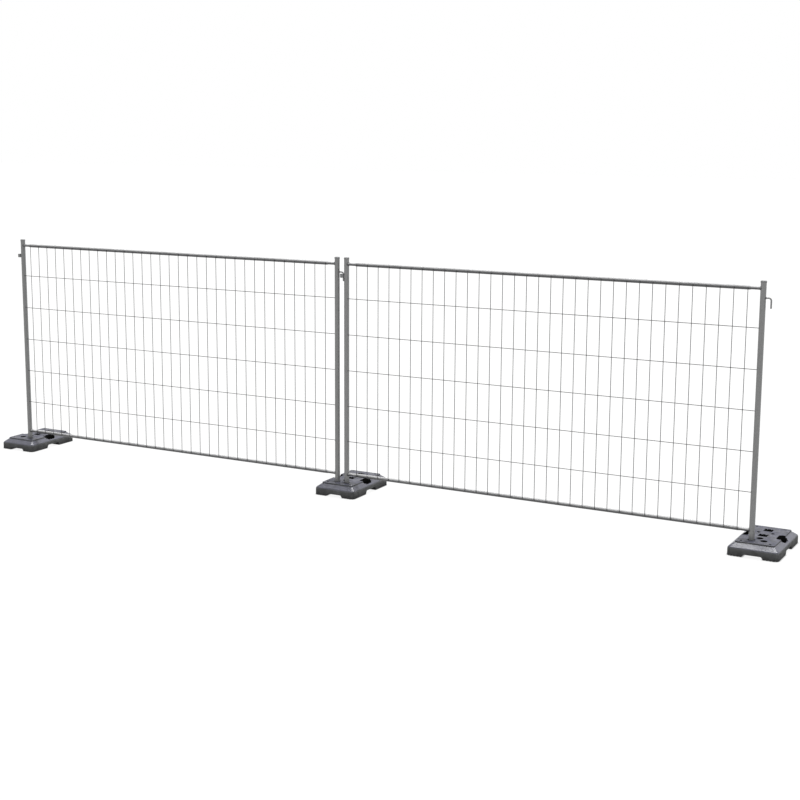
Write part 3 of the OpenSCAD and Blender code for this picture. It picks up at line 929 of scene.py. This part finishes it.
def cap_plastic():
    """Cap material: plain moulded grey plastic, slightly weathered, with dust on top."""
    material, tree, shader = new_material("cap_plastic")
    tone = use_group(tree, UNEVEN_TONE, {"Color": (0.42, 0.424, 0.426, 1), "Patch Scale": 40, "Speck Scale": 500,
                                         "Amount": 0.25})
    dust_and_top_light = use_group(tree, UP_FACING_DUST_AND_LIGHT, {"Steepest": 0.5, "Scale": 60, "Amount": 0.35})["Mask"]
    worn = use_group(tree, WORN_EDGES, {"Reach": 0.002, "Scale": 120, "Amount": 0.3})["Mask"]
    faded = (0.30, 0.30, 0.31, 1)
    dusty_and_lit = mix_colours(tree, dust_and_top_light, tone["Color"], faded)
    tree.links.new(mix_colours(tree, worn, dusty_and_lit, faded), shader.inputs["Base Color"])
    tree.links.new(stretch(tree, tone["Patch"], 0.3, 0.7, 0.45, 0.6), shader.inputs["Roughness"])
    where = place(tree, "ShaderNodeTexCoord").outputs["Object"]
    grain = place(tree, "ShaderNodeTexNoise", {"Vector": where, "Scale": 900.0, "Detail": 2.0}).outputs[0]
    bump(tree, shader, grain, 0.0002)
    return material


cap_material = cap_plastic()
for panel in PANELS:
    bm = bmesh.new()
    inside = POST_R + 0.05 * MM
    top = cap_high.z
    profile = soften([(inside, cap_low.z, 0), (CAP_R, cap_low.z, 0.8 * MM), (CAP_R, top - MM, 4 * MM),
                      (0.55 * CAP_R, top, 4 * MM), (0.15 * CAP_R, top, 0), (0.10 * CAP_R, top - 0.5 * MM, 0),
                      (0.02 * CAP_R, top - 0.5 * MM, 0), (0.02 * CAP_R, top - CAP_T, 0), (inside, top - CAP_T, 0)])
    for end in ENDS:
        turned(bm, [tuple(point) for point in profile], post_axis(panel, end), POST_Y, TUBE_SIDES)
    add_piece(f"{panel}_caps", smooth(as_mesh(bm, "caps")), panel, "cap_plastic", cap_material,
              f"{panel}_post_caps")


# Floor
# A plain pale studio floor, not part of the run. It is white to the eye and in reflections, and still takes
# the run's soft shadow.
FLOOR_HALF = 60
FLOOR_SHARE = 0.14
FLOOR_GLOW = 0.90
CONTACT_SHADE = 0.013
bm = bmesh.new()
bmesh.ops.create_grid(bm, x_segments=1, y_segments=1, size=FLOOR_HALF)
floor = bpy.data.objects.new("floor", as_mesh(bm, "floor"))
bpy.context.scene.collection.objects.link(floor)


def seen_directly(tree):
    """1 for rays from the camera, from a reflection or through glass, 0 for light that only fills the scene."""
    path = place(tree, "ShaderNodeLightPath").outputs
    seen = maths(tree, "MAXIMUM", path["Is Camera Ray"], path["Is Glossy Ray"])
    return maths(tree, "MAXIMUM", seen, path["Is Transmission Ray"])


def studio_floor():
    """Floor material: part of its white glows for the eye alone, and the rest is lit, so that shadows stay."""
    material, tree, shader = new_material("studio_floor")
    tree.nodes.remove(shader)
    lit = place(tree, "ShaderNodeBsdfDiffuse", {"Color": (FLOOR_SHARE, FLOOR_SHARE, FLOOR_SHARE, 1)})
    # Painted contact shadow: the glow fades where the floor is closed in, close under and beside the feet.
    open_air = place(tree, "ShaderNodeAmbientOcclusion", {"Distance": CONTACT_SHADE}, samples=8).outputs["AO"]
    strength = maths(tree, "MULTIPLY", maths(tree, "MULTIPLY", seen_directly(tree), FLOOR_GLOW), open_air)
    glow = place(tree, "ShaderNodeEmission", {"Strength": strength})
    both = place(tree, "ShaderNodeAddShader", {0: lit.outputs[0], 1: glow.outputs[0]})
    tree.links.new(both.outputs[0], tree.nodes["Material Output"].inputs["Surface"])
    return material


floor.data.materials.append(studio_floor())


# Light
# Two broad soft lights overhead, both a little to the back, and a pale surround that fills the shadows and
# is brighter towards the horizon.
scene = bpy.context.scene
scene.view_settings.view_transform = "Standard"
FILL_LOW = 0.95
FILL_HIGH = 0.05
OVERHEAD = (("main_light", 1.40, 25, (-0.21, 0.20, 0.957)),
            ("side_light", 1.2, 16, (0.14, 0.43, 0.89)))
for name, energy, width, towards in OVERHEAD:
    lamp = bpy.data.lights.new(name, "SUN")
    lamp.energy = energy
    lamp.angle = math.radians(width)
    overhead = bpy.data.objects.new(name, lamp)
    overhead.rotation_euler = Vector(towards).to_track_quat("Z", "Y").to_euler()
    scene.collection.objects.link(overhead)

surround = bpy.data.worlds.new("surround")
surround.use_nodes = True
scene.world = surround
tree = surround.node_tree
direction = place(tree, "ShaderNodeTexCoord").outputs["Generated"]
height = place(tree, "ShaderNodeSeparateXYZ", {0: direction}).outputs[2]
fill = stretch(tree, height, 0.0, 1.0, FILL_LOW, FILL_HIGH)
strength = mix_values(tree, seen_directly(tree), fill, 1.0)
tree.links.new(strength, tree.nodes["Background"].inputs["Strength"])
tree.nodes["Background"].inputs["Color"].default_value = (1, 1, 1, 1)


# Camera
# Stands in front of the right panel and about 3 m up, where a fit to the photograph puts it. Its frame is
# shifted, because the photograph was not centred on the line of sight.
camera = bpy.data.objects.new("camera", bpy.data.cameras.new("camera"))
camera.location = (6.193, -10.709, 3.171)
camera.rotation_euler = (math.radians(80), 0, math.radians(30))
camera.data.sensor_width = 36
camera.data.lens = 67.232
camera.data.shift_x = 0.0591
camera.data.shift_y = -0.03133
scene.collection.objects.link(camera)
scene.camera = camera
